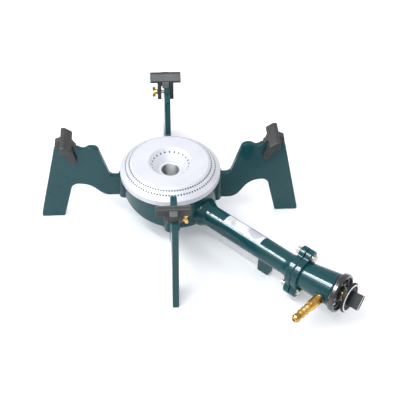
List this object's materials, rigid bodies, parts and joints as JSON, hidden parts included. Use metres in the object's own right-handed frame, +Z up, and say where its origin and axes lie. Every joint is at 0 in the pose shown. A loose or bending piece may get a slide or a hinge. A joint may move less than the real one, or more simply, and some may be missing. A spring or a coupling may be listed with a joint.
{
  "type": "propane burner stand",
  "caption": "Low four-legged cast-iron propane burner with a domed cap, clamped pot supports, and a mixing tube ending in an air shutter, a hose barb and a tap knob.",
  "frame": {"origin": "on the burner's axis at floor level, where the feet stand", "axes": "+Z up along the burner's axis; the mixing tube and its knob point to -Y; the legs stand on the diagonals"},
  "size_m": [0.285, 0.4895, 0.15],
  "materials": {
    "green": "glossy green-blue enamel on cast iron",
    "cap": "bright cast and turned, satin",
    "grey_iron": "grey casting, satin",
    "zinc": "zinc-plated, slightly yellow",
    "brass": "turned, semi-gloss",
    "shutter_black": "gloss black",
    "knob_black": "black moulded grip",
    "ring_white": "white marking ring",
    "label": "plain white foil label with a thin border",
    "gasket": "graphite sheet gasket"
  },
  "bodies": {
    "stand": {"burner_bowl": "green", "leg_front_right": "green", "leg_rear_right": "green", "leg_rear_left": "green", "leg_front_left": "green", "mixing_tube": "green", "burner_cap": "cap", "cap_gasket": "gasket", "centre_tube": "zinc", "centre_nut": "zinc", "flange_gasket": "gasket", "flange_bolts": "zinc", "flange_nuts": "zinc", "flange_washers": "zinc", "tube_label": "label", "mixer_barrel": "green", "hose_barb": "brass", "barb_washer": "brass", "tap_body": "brass", "injector": "brass", "tap_spring": "zinc", "gland_nut": "brass", "shutter_spring": "zinc", "shutter_clip": "zinc"},
    "knob": {"tap_plug": "brass", "knob": "knob_black", "knob_ring": "ring_white", "knob_screw": "zinc"},
    "shutter": {"air_shutter": "shutter_black"},
    "support_front_right": {"support_front_right": "grey_iron"},
    "screw_front_right": {"clamp_screw_front_right": "brass"},
    "support_rear_right": {"support_rear_right": "grey_iron"},
    "screw_rear_right": {"clamp_screw_rear_right": "brass"},
    "support_rear_left": {"support_rear_left": "grey_iron"},
    "screw_rear_left": {"clamp_screw_rear_left": "brass"},
    "support_front_left": {"support_front_left": "grey_iron"},
    "screw_front_left": {"clamp_screw_front_left": "brass"}
  },
  "joints": [
    {"name": "knob_turn", "type": "hinge", "parent": "stand", "child": "knob", "pos_m": [0.00429, -0.32578, 0.04643], "axis": [-0.0613, 0.9969, -0.0489], "range_deg": [0, 90]},
    {"name": "shutter_turn", "type": "hinge", "parent": "stand", "child": "shutter", "pos_m": [0.00354, -0.31352, 0.04582], "axis": [-0.0613, 0.9969, -0.0489], "range_deg": [0, 45]},
    {"name": "support_slide_front_right", "type": "slide", "parent": "stand", "child": "support_front_right", "axis": [-0.7071, 0.7071, 0], "range_m": [-0.001, 0.034]},
    {"name": "screw_turn_front_right", "type": "hinge", "parent": "support_front_right", "child": "screw_front_right", "pos_m": [0.11738, -0.08909, 0.121], "axis": [0.7071, 0.7071, 0], "range_deg": [0, 360]},
    {"name": "support_slide_rear_right", "type": "slide", "parent": "stand", "child": "support_rear_right", "axis": [-0.7071, -0.7071, 0], "range_m": [-0.001, 0.034]},
    {"name": "screw_turn_rear_right", "type": "hinge", "parent": "support_rear_right", "child": "screw_rear_right", "pos_m": [0.08909, 0.11738, 0.121], "axis": [-0.7071, 0.7071, 0], "range_deg": [0, 360]},
    {"name": "support_slide_rear_left", "type": "slide", "parent": "stand", "child": "support_rear_left", "axis": [0.7071, -0.7071, 0], "range_m": [-0.001, 0.034]},
    {"name": "screw_turn_rear_left", "type": "hinge", "parent": "support_rear_left", "child": "screw_rear_left", "pos_m": [-0.08909, 0.11738, 0.121], "axis": [0.7071, 0.7071, 0], "range_deg": [0, 360]},
    {"name": "support_slide_front_left", "type": "slide", "parent": "stand", "child": "support_front_left", "axis": [0.7071, 0.7071, 0], "range_m": [-0.006, 0.029]},
    {"name": "screw_turn_front_left", "type": "hinge", "parent": "support_front_left", "child": "screw_front_left", "pos_m": [-0.08556, -0.11384, 0.121], "axis": [0.7071, -0.7071, 0], "range_deg": [0, 360]}
  ]
}
